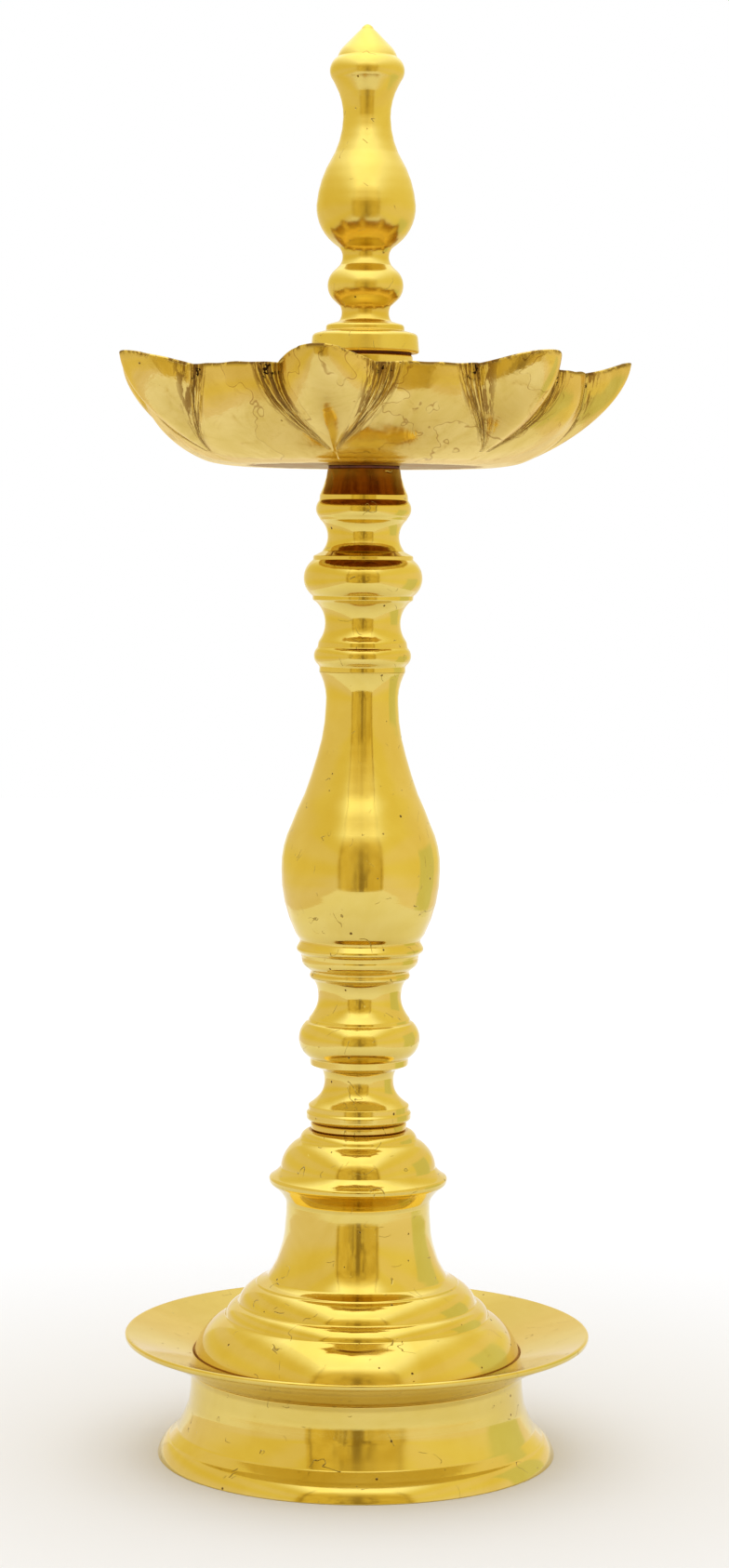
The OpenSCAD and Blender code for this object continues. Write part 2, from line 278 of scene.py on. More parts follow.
def cast_brass():
    """The dish: old gold, unevenly buffed, with file marks up the flutes, brown along the creases,
    dark chips there near the rim, thin tide lines, and a brown crust under the dish."""
    made, tree, shader = metal("cast_brass")
    shader.inputs["Specular Tint"].default_value = EDGE_TINT
    at = place(tree)
    across, upward, crease, rim, under, inside = attributes(
        tree, "across", "upward", "crease", "rim", "under", "inside")
    cloud = noise(tree, at, scale=38, detail=4, rough=0.6, bend=1.4)
    patch = noise(tree, at, scale=130, detail=4, rough=0.65, bend=0.8)
    speck = noise(tree, at, scale=800, detail=3, rough=0.6)
    filed = noise(tree, scaled(tree, (across, 1500), (upward, 110)), detail=3, rough=0.65)
    streak = noise(tree, scaled(tree, (across, 600), (upward, 45), (3.0, 1.0)), detail=3, rough=0.6)
    shore = noise(tree, at, scale=21, detail=4, rough=0.55, bend=0.3)

    marks = times(tree, band(tree, filed, 0.47, 0.53), band(tree, crease, 0.15, 0.45))
    stain = times(tree, band(tree, crease, 0.35, 0.8), band(tree, streak, 0.5, 0.58))
    chips = times(tree, band(tree, crease, 0.5, 0.8), band(tree, rim, 0, 0.3))
    chips = times(tree, chips, band(tree, noise(tree, at, scale=520, detail=3, rough=0.7), 0.54, 0.58))
    edge = band(tree, noise(tree, at, scale=210, detail=4, rough=0.7), 0.42, 0.54)
    worn = times(tree, band(tree, rim, 0.72, 1), edge)
    tide = times(tree, contour(tree, shore, SHORE, 0.001, 0.004), band(tree, patch, 0.3, 0.5))
    holes = pits(tree, at, scale=320, size=0.16, share=0.05)
    dirt = most(tree, most(tree, stain, worn), holes)
    crusted = band(tree, maths(tree, "ADD", under, times(tree, patch, 1.2)), 0.75, 1)

    tone = layered(tree, blend(tree, band(tree, cloud, 0.3, 0.7), CAST, CAST_PALE),
                   (band(tree, patch, 0.5, 0.75, 0, 0.5), CAST_PATCH),
                   (band(tree, shore, SHORE, SHORE + 0.01, 0, 0.3), CAST_SHORE),
                   (times(tree, inside, 0.4), CAST_INSIDE),
                   (times(tree, tide, 0.7), CAST_TIDE),
                   (times(tree, marks, 0.85), CAST_FILED),
                   (times(tree, dirt, 0.85), CAST_DIRT),
                   (chips, CAST_CHIP),
                   (crusted, blend(tree, band(tree, patch, 0.35, 0.65), CRUST_DARK, CRUST_RED)))
    dull = total(tree, band(tree, patch, 0.3, 0.75, 0.12, 0.24), times(tree, marks, 0.15),
                 times(tree, crusted, 0.15), times(tree, inside, 0.12),
                 times(tree, most(tree, dirt, chips), 0.3))
    face = bumped(tree, (noise(tree, at, scale=22, detail=2, rough=0.4, bend=0.8), 0.003, 0.6),
                  (cloud, 0.0006, 0.4),
                  (times(tree, filed, band(tree, crease, 0.1, 0.5)), 0.00025, 0.9),
                  (times(tree, dirt, -1), 0.0002, 0.8),
                  (speck, 0.00001, 0.6))
    wire(tree, shader, Base_Color=tone, Roughness=dull, Normal=face)
    return made


# ---- screws and washers -------------------------------------------------------------------------

SCREW, SCREW_PALE, THREAD_ROOT = colour(0.66, 0.47, 0.17), colour(0.8, 0.6, 0.24), colour(0.2, 0.11, 0.045)
HIDE, HIDE_RED = colour(0.11, 0.028, 0.014), colour(0.22, 0.062, 0.03)
HIDE_SPECULAR = 0.35


def turned_brass():
    """Screws, nut and washer: plain turned brass, duller, with oil-brown thread roots."""
    made, tree, shader = metal("turned_brass")
    at = place(tree)
    root, = attributes(tree, "recess")
    cloud = noise(tree, at, scale=180, detail=4, rough=0.6, bend=0.5)
    tone = layered(tree, blend(tree, band(tree, cloud, 0.3, 0.7), SCREW, SCREW_PALE),
                   (band(tree, root, 0.35, 1, 0, 0.85), THREAD_ROOT))
    dull = total(tree, band(tree, cloud, 0.3, 0.75, 0.22, 0.36), band(tree, root, 0.3, 1, 0, 0.25))
    face = bumped(tree, (noise(tree, at, scale=2600, detail=2, rough=0.6), 0.00003, 0.7))
    wire(tree, shader, Base_Color=tone, Roughness=dull, Normal=face)
    return made


def leather():
    """Dark red-brown washers, pressed flat, with grain and fibres."""
    made, tree, shader = metal("leather")
    shader.inputs["Metallic"].default_value = 0.0
    shader.inputs["Specular IOR Level"].default_value = HIDE_SPECULAR
    at = place(tree)
    grain = add(tree, "ShaderNodeTexVoronoi", {"Vector": at, "Scale": 1700}).outputs["Distance"]
    fibre = noise(tree, at, scale=700, detail=4, rough=0.7, bend=1)
    tone = blend(tree, band(tree, fibre, 0.3, 0.7), HIDE, HIDE_RED)
    dull = band(tree, fibre, 0.3, 0.7, 0.55, 0.8)
    face = bumped(tree, (grain, 0.00006, 0.7), (fibre, 0.00008, 0.6))
    wire(tree, shader, Base_Color=tone, Roughness=dull, Normal=face)
    return made


LOOKS = {"polished_brass": polished_brass(), "cast_brass": cast_brass(),
         "turned_brass": turned_brass(), "leather": leather()}


# ---- outlines of the turned pieces --------------------------------------------------------------

SNAP, SAME = 2e-6, 8e-6             # outline points are snapped to SNAP, and joined if within SAME
ON_AXIS = 1e-6                      # a smaller radius than this is on the axis
CORNER = 14                         # degrees: a sharper turn than this is a corner, not an arc
ARC_STEP, LONGEST = 4, 2.2 * MM     # degrees of arc and length of the longest step in an outline


def outline_of(node):
    """The (r, z) corners of a turned CAD node in order, and whether the outline closes."""
    mesh = frame["nodes"][node].data
    at = np.zeros(len(mesh.vertices) * 3)
    mesh.vertices.foreach_get("co", at)
    at = at.reshape(-1, 3)
    rz = np.c_[np.hypot(at[:, 0], at[:, 1]), at[:, 2]]
    snapped, which = np.unique(np.round(rz / SNAP).astype(int), axis=0, return_inverse=True)
    spots = snapped * SNAP
    merged = np.arange(len(spots))
    for i in range(len(spots)):
        near = np.hypot(*(spots[:i] - spots[i]).T) < SAME
        if near.any():
            merged[i] = merged[np.argmax(near)]
    which = merged[which.ravel()]
    ends = np.zeros(len(mesh.edges) * 2, int)
    mesh.edges.foreach_get("vertices", ends)
    pairs = which[ends.reshape(-1, 2)]
    beside = {int(i): set() for i in np.unique(which)}
    for a, b in np.unique(np.sort(pairs, axis=1), axis=0):
        if a != b:
            beside[int(a)].add(int(b))
            beside[int(b)].add(int(a))
    tips = [i for i in beside if len(beside[i]) == 1]
    odd = [i for i in beside if len(beside[i]) not in (1, 2)]
    if odd or len(tips) not in (0, 2):
        raise ValueError(f"{node} has no simple outline: {len(odd)} odd points, {len(tips)} ends")
    walk = [tips[0] if tips else min(beside)]
    while True:
        onward = [i for i in beside[walk[-1]] if i not in walk]
        if not onward:
            break
        walk.append(onward[0])
    found = spots[walk]
    if tips:        # the flat end of a blind bore has no point on the axis in CAD, so it gets one
        first, last = found[0], found[-1]
        if first[0] > SAME:
            found = np.vstack([[0, first[1]], found])
        if last[0] > SAME:
            found = np.vstack([found, [0, last[1]]])
    ahead = np.roll(found, -1, axis=0)
    area = (found[:, 0] * ahead[:, 1] - ahead[:, 0] * found[:, 1]).sum()
    return found[::-1] if area < 0 else found, not tips


def wrapped(angle):
    """The same angle between -pi and pi."""
    return (angle + math.pi) % (2 * math.pi) - math.pi


def smooth_outline(found, closed, edge):
    """The outline with its arcs drawn finer and its corners rounded over a length of edge."""
    n = len(found)
    count = n if closed else n - 1
    way = [found[(i + 1) % n] - found[i] for i in range(count)]
    length = [float(np.hypot(*w)) for w in way]
    angle = [math.atan2(w[1], w[0]) for w in way]

    def turn(i):
        """How far the outline turns at point i, and its direction there, or None at a corner."""
        if not closed and i in (0, n - 1):
            return 0.0, None
        before, after = (i - 1) % count, i % count
        bend = wrapped(angle[after] - angle[before])
        if abs(math.degrees(bend)) > CORNER:
            return bend, None
        return bend, angle[before] + bend * length[after] / (length[before] + length[after])

    bends = [turn(i) for i in range(n)]
    out, corners = [], []
    for i in range(count):
        j = (i + 1) % n
        start, end = bends[i][1], bends[j][1]
        off_start = 0.0 if start is None else wrapped(start - angle[i])
        off_end = 0.0 if end is None else wrapped(end - angle[i])
        if start is None and end is not None:
            off_start = -off_end
        if end is None and start is not None:
            off_end = -off_start
        curved = math.degrees(abs(off_start) + abs(off_end))
        parts = max(1, math.ceil(curved / ARC_STEP), math.ceil(length[i] / LONGEST))
        a, b = angle[i] + off_start, angle[i] + off_end
        leaving = length[i] * np.array([math.cos(a), math.sin(a)])
        arriving = length[i] * np.array([math.cos(b), math.sin(b)])
        out.append(found[i])
        corners.append(start is None and abs(bends[i][0]) > 0)
        for k in range(1, parts):
            t = k / parts
            out.append((2 * t**3 - 3 * t**2 + 1) * found[i] + (t**3 - 2 * t**2 + t) * leaving
                       + (3 * t**2 - 2 * t**3) * found[j] + (t**3 - t**2) * arriving)
            corners.append(False)
    if not closed:
        out.append(found[-1])
        corners.append(False)
    return round_corners(np.array(out), corners, closed, edge)


CURVE_AT = (0, 0.2, 0.4, 0.6, 0.8, 1)
LEAD, CLEARED = 1.7, 1.75       # of edge: how far out a curve's end points lie, and what they clear
NEXT_CORNER = 0.4               # of a step: how near a curve comes to the next corner


def round_corners(points, corners, closed, edge):
    """Each marked corner becomes a short curve that starts and ends edge away from it, with one more
    point on each side, so that the flat beside it is shaded flat."""
    n = len(points)

    def towards(i, step, reach):
        """The point reach along the outline from point i, or a little short of the next corner."""
        gone, j = 0.0, i
        while True:
            k = (j + step) % n
            size = float(np.hypot(*(points[k] - points[j])))
            if gone + size >= reach or corners[k]:
                share = min((reach - gone) / size, NEXT_CORNER if corners[k] else 1)
                return points[j] + (points[k] - points[j]) * share
            gone += size
            j = k
            if not closed and j in (0, n - 1):
                return points[j]

    curves = {}
    for i in range(n):
        if corners[i] and points[i][0] > ON_AXIS:
            a, b = towards(i, -1, edge), towards(i, 1, edge)
            curve = [(1 - t)**2 * a + 2 * t * (1 - t) * points[i] + t**2 * b for t in CURVE_AT]
            curves[i] = [towards(i, -1, edge * LEAD), *curve, towards(i, 1, edge * LEAD)]

    def cleared(i):
        """Whether point i is so near a rounded corner that its curve takes its place."""
        for step in (-1, 1):
            gone, j = 0.0, i
            while gone < edge * CLEARED:
                if not closed and j == (0 if step < 0 else n - 1):
                    break
                k = (j + step) % n
                gone += float(np.hypot(*(points[k] - points[j])))
                if k in curves and gone < edge * CLEARED:
                    return True
                j = k
        return False

    rounded = []
    for i in range(n):
        if i in curves:
            rounded.extend(curves[i])
        elif not cleared(i):
            rounded.append(points[i])
    clean = [rounded[0]]
    for point in rounded[1:]:
        if np.hypot(*(point - clean[-1])) > SAME:
            clean.append(point)
    return np.array(clean)


def facing(points, closed):
    """The outward direction at each outline point."""
    ahead = np.roll(points, -1, axis=0) - points
    behind = points - np.roll(points, 1, axis=0)
    if not closed:
        ahead[-1] = behind[-1]
        behind[0] = ahead[0]
    unit = ahead / np.linalg.norm(ahead, axis=1)[:, None]
    unit = unit + behind / np.linalg.norm(behind, axis=1)[:, None]
    unit /= np.maximum(np.linalg.norm(unit, axis=1), 1e-9)[:, None]
    return np.c_[unit[:, 1], -unit[:, 0]]


SUNK_NEAR, SUNK_FAR = 0.12 * MM, 13 * MM    # only neighbours between these distances count
SUNK_FULL = 150                             # degrees that they rise in all where it is quite sunk


def sunk(points, out, others):
    """0 where an outline point lies open and 1 where its neighbours close it in."""
    result = np.zeros(len(points))
    side = np.c_[-out[:, 1], out[:, 0]]
    for i, (here, up, along) in enumerate(zip(points, out, side)):
        to = others - here
        far = np.hypot(to[:, 0], to[:, 1])
        near = (far > SUNK_NEAR) & (far < SUNK_FAR)
        rise = np.degrees(np.arctan2(to[near] @ up, np.abs(to[near] @ along)))
        rise = rise * (1 - (far[near] / SUNK_FAR)**2)
        left = (to[near] @ along) < 0
        both = rise[left].max(initial=0) + rise[~left].max(initial=0)
        result[i] = min(1, both / SUNK_FULL)
    return result


# ---- mesh making --------------------------------------------------------------------------------

BODY_OF = {node: body for body, members in frame["record"]["behaviour"]["bodies"].items()
           for node in members}


def mesh_piece(node, at, faces, marks, slot):
    """A smooth piece in place of a CAD node, with per-vertex marks that its material reads."""
    name = node + "_piece"
    mesh = bpy.data.meshes.new(name)
    mesh.from_pydata(at.tolist(), [], faces)
    for key, values in marks.items():
        mark = mesh.attributes.new(key, "FLOAT", "POINT")
        mark.data.foreach_set("value", np.asarray(values, np.float32))
    mesh.materials.append(LOOKS[slot])
    mesh.shade_smooth()
    made = bpy.data.objects.new(name, mesh)
    scene.collection.objects.link(made)
    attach(made, BODY_OF[node])
    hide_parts(node)
    return made


def grid_faces(rows, columns, closed, poles):
    """The faces of a grid that wraps round its columns. A pole row has only one vertex."""
    first, count = [], 0
    for row in range(rows):
        first.append(count)
        count += 1 if row in poles else columns
    faces = []
    for here in range(rows if closed else rows - 1):
        there = (here + 1) % rows
        a, b = first[here], first[there]
        for i in range(columns):
            k = (i + 1) % columns
            if here in poles:
                faces.append((a, b + k, b + i))
            elif there in poles:
                faces.append((a + i, a + k, b))
            else:
                faces.append((a + i, a + k, b + k, b + i))
    return faces


def turned_piece(node, points, closed, marks, slot, columns, shape=None):
    """A piece spun from outline points. shape gives the radius all round at an outline point."""
    spin = np.linspace(0, 2 * np.pi, columns, endpoint=False)
    poles = [i for i, p in enumerate(points) if p[0] < ON_AXIS]
    at, spread = [], {key: [] for key in marks}
    for i, (r, z) in enumerate(points):
        if i in poles:
            at.append([[0, 0, z]])
        else:
            ring = np.full(columns, r) if shape is None else shape(spin, r, z)
            at.append(np.c_[ring * np.cos(spin), ring * np.sin(spin), np.full(columns, z)])
        for key in marks:
            spread[key].extend([marks[key][i]] * len(at[-1]))
    faces = grid_faces(len(points), columns, closed, poles)
    return mesh_piece(node, np.vstack(at), faces, spread, slot)


# ---- turned pieces ------------------------------------------------------------------------------

TURNED_COLUMNS = 160
EDGE_MM = {"foot_ring": 0.35, "drip_tray": 0.3, "base_bell": 0.25, "stem_seat_ring": 0.3,
           "stem_lower": 0.25, "stem_baluster": 0.25, "stem_upper": 0.25, "dish_hub": 0.3,
           "finial": 0.25, "base_stud_washer": 0.2, "dish_washer": 0.15, "finial_washer": 0.12}
SOFT = {"finial": 0.8, "dish_hub": 0.4, "stem_upper": 0.1}      # how hazy its buffing is
SLOT_OF = {"base_stud_washer": "turned_brass", "dish_washer": "leather", "finial_washer": "leather"}
HOLLOW = ("foot_ring", "base_bell")
INWARD, BORE_R = -0.25, 6 * MM      # the inside faces inwards more than this, outside the bore


def build_turned():
    smooth = {}
    for node, edge in EDGE_MM.items():
        found, closed = outline_of(node)
        smooth[node] = (smooth_outline(found, closed, edge * MM), closed)
    everything = np.vstack([points for points, _ in smooth.values()])
    for node, (points, closed) in smooth.items():
        out = facing(points, closed)
        along = np.concatenate([[0], np.cumsum(np.hypot(*np.diff(points, axis=0).T))])
        inside = (out[:, 0] < INWARD) & (points[:, 0] > BORE_R) & (node in HOLLOW)
        marks = {"along": along + points[:, 1].min(), "recess": sunk(points, out, everything),
                 "raw": inside.astype(float), "soft": np.full(len(points), SOFT.get(node, 0.0))}
        slot = SLOT_OF.get(node, "polished_brass")
        turned_piece(node, points, closed, marks, slot, TURNED_COLUMNS)


# ---- screws -------------------------------------------------------------------------------------

PITCH, THREAD_DEPTH = 1.5875 * MM, 0.75 * MM
ROWS_A_TURN, STUD_COLUMNS = 12, 72
STUD_BEVEL = 0.9 * MM
STUD_END_DIRT = 0.2


def stud_piece(node):
    """A threaded stud: a rod whose radius follows the screw thread, with bevelled ends."""
    low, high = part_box(node)
    crest = high.x
    rows = int(round((high.z - low.z) / PITCH * ROWS_A_TURN))
    heights = np.linspace(low.z, high.z, rows + 1)
    points = np.array([[0, low.z], *[[crest, z] for z in heights], [0, high.z]])

    def thread(spin, r, z):
        turn = ((z - low.z) / PITCH - spin / (2 * np.pi)) % 1
        ridge = np.clip(1.25 - 2.6 * np.abs(turn - 0.5), 0, 1)
        end = min(z - low.z, high.z - z)
        return np.minimum(crest - THREAD_DEPTH * (1 - ridge), crest - STUD_BEVEL + end)

    made = turned_piece(node, points, False, {"recess": np.zeros(len(points))}, "turned_brass",
                        STUD_COLUMNS, thread)
    at = np.array([v.co for v in made.data.vertices])
    far = np.hypot(at[:, 0], at[:, 1])
    depth = np.clip((crest - far) / THREAD_DEPTH, 0, 1)
    depth[far < crest - THREAD_DEPTH * 1.5] = STUD_END_DIRT
    made.data.attributes["recess"].data.foreach_set("value", depth.astype(np.float32))


NUT_FLAT, NUT_BORE, NUT_BEVEL = 7.5 * MM, 4.76 * MM, 0.6 * MM       # two radii, and the bore's bevel
NUT_FACE, NUT_SLOPE = 0.97, 1.2     # the end faces' radius, of NUT_FLAT, and how the chamfer slopes
NUT_COLUMNS = 120
HEX = 1.0                           # stands for the hexagon's own radius in the nut's outline


def nut_piece(node):
    """A hexagonal nut with chamfered corners and a bevelled bore."""
    low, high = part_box(node)
    top, bottom = high.z, low.z
    near_end = (0.15, 0.4, 0.7, 1.0, 1.3)
    side = [(NUT_BORE, bottom + NUT_BEVEL), (NUT_BORE + NUT_BEVEL, bottom), (NUT_FLAT * NUT_FACE, bottom)]
    side += [(HEX, bottom + t * MM) for t in near_end]
    side += [(HEX, bottom + (top - bottom) * t) for t in (0.3, 0.5, 0.7)]
    side += [(HEX, top - t * MM) for t in near_end[::-1]]
    side += [(NUT_FLAT * NUT_FACE, top), (NUT_BORE + NUT_BEVEL, top), (NUT_BORE, top - NUT_BEVEL)]
    points = np.array(side)

    def hexagon(spin, r, z):
        if r < HEX:
            return np.full(len(spin), r)
        flats = NUT_FLAT / np.cos((spin % (math.pi / 3)) - math.pi / 6)
        return np.minimum(flats, NUT_FLAT * NUT_FACE + min(z - bottom, top - z) * NUT_SLOPE)

    turned_piece(node, points, True, {"recess": np.zeros(len(points))}, "turned_brass", NUT_COLUMNS,
                 hexagon)


# ---- dish ---------------------------------------------------------------------------------------
# The same formula as the CAD source, in millimetres above the dish's underside, on a finer grid. The
# tips reach 0.3 mm less far, so that their finer curve stays inside the CAD model's box. p counts
# round a beak: 0 at its tip, 1 at its crease, 2 at the end of the flute, 3 halfway to the next beak.

BEAKS = 7
BEAK_TURN = -9.6
TIP_R, RIM_R, FLOOR_R = 85.1, 71.3, 44.6
RIM_H, TIP_RISE = 29.5, 4.2
BEAK_HALF, FLUTE_BAND = 12.2, 6.0
FLOOR_T, RIM_T = 2.0, 1.3
CREASE_FOOT, CREASE_DEPTH = 3.2, 1.0
SPIGOT = 8.15
SECTOR = 180 / BEAKS
DISH_H = 318.0                  # the dish's underside above the floor

# The visual model's own finish.
EDGE_R, EDGE_H = 2.6, 1.4       # the rounding of the lower edge: how far in, and how far up
LIP, LIP_TURNS = 0.42, np.radians([0, 20, 45, 70, 90])      # the rounding of the rim
WEAR, TIP_WEAR = 0.3, 0.35      # the most that the rim is worn down, and p where it is less worn
GROOVE, GROOVES = 0.34, 4.6     # the chased grooves: their depth, and how many a flute has
CRUST_R, CRUST_FADE = 39, 9     # where the crust underneath ends, and over how far it does
WALL_ROWS = 45
UNDER_R = (SPIGOT, 14.0, 20.0, 26.0, 32.0, 36.0, 40.0)
INSIDE_R = (42.0, 38.0, 32.0, 26.0, 20.0, 14.0, SPIGOT)
OUTSIDE, FLAT, INSIDE = 1, 0, -1


def wall_at(z):
    return FLOOR_R + (RIM_R - FLOOR_R) * (1 - (1 - np.minimum(z / RIM_H, 1))**2.2)**0.67


def keel_at(z):
    share = np.minimum(z / (RIM_H + TIP_RISE), 1)
    return FLOOR_R + (TIP_R - FLOOR_R) * (1 - (1 - share)**1.7)**0.76


def opened(z):
    return np.clip((z - CREASE_FOOT) / (RIM_H - CREASE_FOOT), 0, 1)


def angle_of(p, z):
    a = np.abs(p)
    w = BEAK_HALF * np.maximum(0.06, 1 - (1 - opened(z))**2.2)
    f = FLUTE_BAND * np.maximum(0.3, opened(z)**0.5)
    turned = np.where(a <= 1, a * w, np.where(a <= 2, w + (a - 1) * f, w + f + (a - 2) * (SECTOR - w - f)))
    return np.sign(p) * turned


def radius_of(p, z):
    a = np.abs(p)
    prow = 1 - ((np.sqrt(np.minimum(a, 1)**2 + 0.02) - 0.1414) / 0.8685)**1.25
    v = np.clip(a - 1, 0, 1)
    flute = -CREASE_DEPTH * (0.5 + 0.5 * np.cos(3 * np.pi * v)) * (1 - v)
    beak = wall_at(z) + (keel_at(z) - wall_at(z)) * prow - CREASE_DEPTH * opened(z) * np.minimum(a, 1)**4
    return np.where(a <= 1, beak, wall_at(z) + opened(z) * flute)


def rim_of(p):
    a = np.minimum(np.abs(p), 1)
    return RIM_H + TIP_RISE * np.clip(np.cos(np.pi / 2 * a), 0, 1)**1.1


def worn_rim(p, base):
    """How far the rim is worn down at each place, as a negative height."""
    whole = np.radians(base) + np.radians(angle_of(p, RIM_H))
    wear = 0.14 * (np.sin(5 * whole + 1) + np.sin(17 * whole) + 0.7 * np.sin(41 * whole + 2))
    wear = np.clip(wear, -WEAR, WEAR) - WEAR
    return np.where(np.abs(p) < TIP_WEAR, wear * 0.3, wear)


def dish_rows(p, beak, base):
    """The dish's grid row by row, from the spigot out, up, over the rim and back in. Each row is
    (radius, height, height in the formula, share of the way up, side)."""
    v = np.abs(p) - 1
    in_flute = np.clip(np.minimum(v / 0.12, (1 - v) / 0.12), 0, 1)
    wear = worn_rim(p, base)

    def chased(z):
        """Depth of the hand-cut grooves that run up the flutes."""
        wander = 0.5 * np.sin(z * 0.35 + beak * 1.7) + 0.3 * np.sin(z * 0.9 + beak * 2.9 + np.sign(p))
        cut = 0.5 + 0.5 * np.sin(2 * np.pi * (GROOVES * v + 0.16 * wander))
        return GROOVE * cut**1.6 * in_flute * opened(z)**0.5

    def outer(t):
        z = rim_of(p) * t**1.5
        return radius_of(p, z), z

    def rounded(r, z):
        """The dish's lower edge is rounded off, so the wall starts EDGE_R further in."""
        return r - EDGE_R * np.clip(1 - z / EDGE_H, 0, 1)**2

    def level(r, height):
        return np.full(len(p), r), np.full(len(p), height), np.zeros(len(p)), 0.0, FLAT

    def lip(row, turns):
        r, height, nominal, t, side = row
        return [(r - side * LIP * (1 - np.cos(turn)), height - LIP * (1 - np.sin(turn)), nominal, t, side)
                for turn in turns]

    outer_rows, inner_rows = [], []
    for t in np.linspace(0, 1, WALL_ROWS):
        r, z = outer(t)
        r1, z1 = outer(min(t + 0.01, 1))
        r0, z0 = outer(max(t - 0.01, 0))
        size = np.hypot(r1 - r0, z1 - z0)
        thick = FLOOR_T + (RIM_T - FLOOR_T) * t
        drop = wear * t**8
        outer_rows.append((rounded(r - chased(z), z), z + drop, z, t, OUTSIDE))
        if t == 0:
            within = np.full(len(p), FLOOR_R), np.full(len(p), FLOOR_T)
        elif t == 1:
            within = r - RIM_T, z + drop
        else:
            within = r - thick * (z1 - z0) / size, z + thick * (r1 - r0) / size + drop
        inner_rows.append((*within, z, t, INSIDE))
    return [*[level(r, 0.0) for r in UNDER_R], *outer_rows[:-1], *lip(outer_rows[-1], LIP_TURNS),
            *lip(inner_rows[-1], LIP_TURNS[::-1]), *inner_rows[-2::-1],
            *[level(r, FLOOR_T) for r in INSIDE_R]]


def dish_piece():
    """The oil dish, worn a little along its rim and uneven as hand-filed castings are."""
    half = np.concatenate([np.linspace(0, 1, 19), np.linspace(1, 2, 25)[1:], np.linspace(2, 3, 11)[1:]])
    p = np.concatenate([-half[-2:0:-1], half])
    beak = np.repeat(np.arange(BEAKS), len(p))
    p = np.tile(p, BEAKS)
    base = -90 + BEAK_TURN + beak * 2 * SECTOR
    beside = np.clip(1 - np.abs(np.abs(p) - 1.45) / 0.75, 0, 1)**0.6
    rows = dish_rows(p, beak, base)
    at, marks = [], {key: [] for key in ("across", "upward", "crease", "rim", "under", "inside")}
    for r, height, nominal, t, side in rows:
        turned = np.radians(base + angle_of(p, nominal))
        at.append(np.c_[r * np.cos(turned), r * np.sin(turned), height + DISH_H] * MM)
        underneath = side == FLAT and height.max() < 0.1
        within = side == INSIDE or (side == FLAT and not underneath)
        marks["across"].append((beak * 8 + p) * 7.5 * MM)
        marks["upward"].append((height + abs(r.mean() - FLOOR_R) * 0.5) * MM)
        marks["crease"].append(beside * opened(nominal)**0.22 * (0.5 if side == INSIDE else 1))
        marks["rim"].append(np.full(len(p), max(0, (t - 0.86) / 0.14)))
        marks["under"].append(np.clip((CRUST_R - r) / CRUST_FADE, 0, 1) * underneath)
        marks["inside"].append(np.full(len(p), float(within)))
    faces = grid_faces(len(rows), len(p), True, [])
    marks = {key: np.concatenate(values) for key, values in marks.items()}
    mesh_piece("oil_dish", np.vstack(at), faces, marks, "cast_brass")


build_turned()
for stud in ("base_stud", "lower_joint_stud", "upper_joint_stud", "dish_stud", "finial_stud"):
    stud_piece(stud)
nut_piece("base_stud_nut")
dish_piece()


# ---- studio -------------------------------------------------------------------------------------
# A lit tent with walls of warm cloth stands round the lamp. Only the brass shows it, as reflections.

TENT_HALF, TENT_FRONT, TENT_BACK, TENT_TOP = 0.40, -0.62, 0.75, 0.95
LEFT_CLOTH = colour(0.98, 0.82, 0.28), colour(1, 0.87, 0.38)
RIGHT_CLOTH = colour(0.98, 0.84, 0.3), colour(1, 0.9, 0.44)
BACK_CLOTH = colour(1, 0.9, 0.6), colour(1, 0.94, 0.72)
FRONT_CLOTH = colour(0.68, 0.51, 0.12), colour(0.86, 0.69, 0.22)
CLOTH_BAND, CLOTH_FOOT = colour(1, 0.87, 0.58), colour(1, 0.9, 0.85)
CLOTH_TOP, RIGHT_TOP, FRONT_TOP = colour(1.4, 1.42, 1.3), colour(1.3, 1.32, 1.2), colour(1.5, 1.5, 1.25)
CEILING_LEFT, CEILING_RIGHT = colour(1.5, 1.5, 1.3), colour(1.4, 1.4, 1.2)
CEILING_GLOW = colour(1.8, 1.75, 1.45)
PANE, OPENING = colour(0.8, 0.8, 0.44), colour(0.14, 0.08, 0.03)
# The floor's colour near the lamp is a painted soft shadow, a little darker and warmer than further out.
FLOOR_PAINTED_SHADOW, FLOOR_FAR = colour(0.84, 0.82, 0.785), colour(0.88, 0.88, 0.88)
FLOOR_HALF, FLOOR_GLOW, FLOOR_ROUGH = 3, 0.2, 0.9
BLACK, WHITE = colour(0, 0, 0), colour(1, 1, 1)


def cloth(tree, shades, top=CLOTH_TOP):
    """The tent's cloth, paler near the floor, in one band and towards its lit top."""
    at = place(tree)
    up = split(tree, at)[2]
    return layered(tree, blend(tree, noise(tree, at, scale=3, detail=2), *shades),
                   (between(tree, up, (0.2, 0.29), (0.36, 0.44), 0.75), CLOTH_BAND),
                   (band(tree, up, 0.05, 0.18, 0.75, 0), CLOTH_FOOT),
                   (band(tree, up, 0.5, 0.95), top))


def left_wall(tree):
    return cloth(tree, LEFT_CLOTH)


def back_wall(tree):
    return cloth(tree, BACK_CLOTH)


def right_wall(tree):
    """Cloth with one greener pane, low and towards the back."""
    _, y, z = split(tree, place(tree))
    pane = between(tree, y, (0.02, 0.03), (0.34, 0.36))
    pane = times(tree, pane, band(tree, z, 0.26, 0.29, 1, 0))
    return blend(tree, pane, cloth(tree, RIGHT_CLOTH, RIGHT_TOP), PANE)


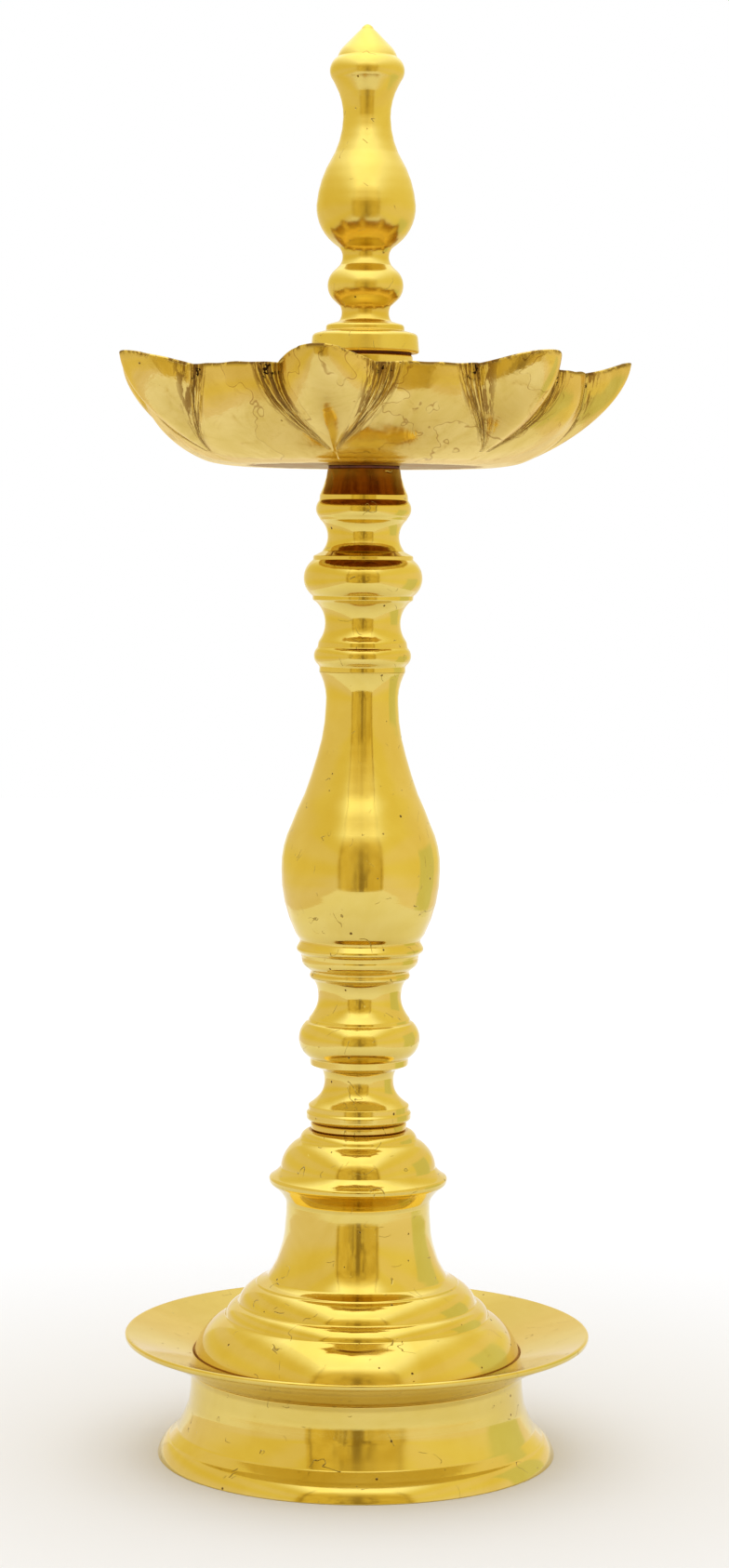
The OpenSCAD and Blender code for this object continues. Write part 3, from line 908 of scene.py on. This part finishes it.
def front_wall(tree):
    """Cloth with a dark, uneven opening in its middle and a dark edge at both sides."""
    at = place(tree)
    x, _, z = split(tree, at)
    aside = maths(tree, "ABSOLUTE", x)
    edge = between(tree, aside, (0.335, 0.35), (0.36, 0.372))
    folds = noise(tree, scaled(tree, (x, 34), (0.0, 1.0), (z, 5)), detail=3, rough=0.65)
    opening = times(tree, band(tree, folds, 0.46, 0.6), band(tree, aside, 0.1, 0.19, 1, 0))
    opening = most(tree, opening, contour(tree, x, 0.01, 0.02, 0.05))
    opening = times(tree, opening, band(tree, z, 0.3, 0.62, 1, 0.12))
    dark = most(tree, times(tree, edge, 0.75), opening)
    uneven = band(tree, noise(tree, at, scale=7, detail=3), 0.3, 0.7)
    return layered(tree, blend(tree, uneven, *FRONT_CLOTH),
                   (band(tree, z, 0.5, 0.9), FRONT_TOP),
                   (times(tree, dark, 0.72), OPENING))


def ceiling(tree):
    """Brightest over the lamp, and fading to the colour of the wall that it meets."""
    at = place(tree)
    edge = blend(tree, band(tree, split(tree, at)[0], -TENT_HALF, TENT_HALF), CEILING_LEFT, CEILING_RIGHT)
    wide = add(tree, "ShaderNodeVectorMath", {0: at, 1: (2.3, 1.5, 0)}, operation="MULTIPLY")
    return blend(tree, band(tree, length_of(tree, wide.outputs[0]), 0.1, 1), CEILING_GLOW, edge)


def staged(name, corners, paint):
    """One four-cornered stage piece."""
    mesh = bpy.data.meshes.new(name)
    mesh.from_pydata(corners, [], [(0, 1, 2, 3)])
    made = bpy.data.objects.new(name, mesh)
    scene.collection.objects.link(made)
    mesh.materials.append(paint)
    return made


def card(name, corners, strength, shade):
    """A glowing panel that only reflections show: the camera doesn't see it, and it neither lights
    nor shades the floor. shade returns its colour from its own place."""
    paint = bpy.data.materials.new(name)
    paint.use_nodes = True
    tree = paint.node_tree
    tree.nodes.remove(tree.nodes["Principled BSDF"])
    glow = add(tree, "ShaderNodeEmission", {"Color": shade(tree), "Strength": strength})
    tree.links.new(glow.outputs[0], tree.nodes["Material Output"].inputs[0])
    made = staged(name, corners, paint)
    made.visible_camera = False
    made.visible_diffuse = False
    made.visible_shadow = False


def build_tent():
    near_left, near_right = (-TENT_HALF, TENT_FRONT), (TENT_HALF, TENT_FRONT)
    far_left, far_right = (-TENT_HALF, TENT_BACK), (TENT_HALF, TENT_BACK)
    for name, a, b, strength, shade in (("wall_left", near_left, far_left, 0.92, left_wall),
                                        ("wall_right", near_right, far_right, 1.0, right_wall),
                                        ("room", near_left, near_right, 1.06, front_wall),
                                        ("wall_back", far_left, far_right, 1.0, back_wall)):
        card(name, [(*a, 0), (*b, 0), (*b, TENT_TOP), (*a, TENT_TOP)], strength, shade)
    corners = [(*corner, TENT_TOP) for corner in (near_left, near_right, far_right, far_left)]
    card("ceiling", corners, 1.0, ceiling)


def build_light():
    """A soft light overhead, kept out of reflections, where the ceiling's glow stands for it, and a
    plain white world."""
    lamp = bpy.data.lights.new("top_light", "AREA")
    lamp.shape = "RECTANGLE"
    lamp.size, lamp.size_y = 1.3, 2.2
    lamp.energy = 4
    top = bpy.data.objects.new("top_light", lamp)
    top.location = (0, 0.05, 1.25)
    top.visible_glossy = False
    scene.collection.objects.link(top)

    world = bpy.data.worlds.new("studio")
    world.use_nodes = True
    world.node_tree.nodes["Background"].inputs["Color"].default_value = WHITE
    world.node_tree.nodes["Background"].inputs["Strength"].default_value = 1.0
    scene.world = world


def build_floor():
    """A pale floor, a little darker and warmer near the lamp, which is a painted soft shadow. Away from
    the lamp it glows a little, so that it stays plain white.
    """
    paint, tree, shader = metal("floor")
    shader.inputs["Metallic"].default_value = 0.0
    shader.inputs["Roughness"].default_value = FLOOR_ROUGH
    shader.inputs["Specular IOR Level"].default_value = 0.0
    shader.inputs["Emission Strength"].default_value = FLOOR_GLOW
    away = length_of(tree, place(tree))
    # Darker near the lamp: a painted soft shadow.
    wire(tree, shader, Base_Color=blend(tree, band(tree, away, 0.1, 0.35), FLOOR_PAINTED_SHADOW, FLOOR_FAR),
         Emission_Color=blend(tree, band(tree, away, 0.15, 1.2), BLACK, WHITE))
    half = FLOOR_HALF
    staged("floor", [(-half, -half, 0), (half, -half, 0), (half, half, 0), (-half, half, 0)], paint)


build_tent()
build_light()
build_floor()
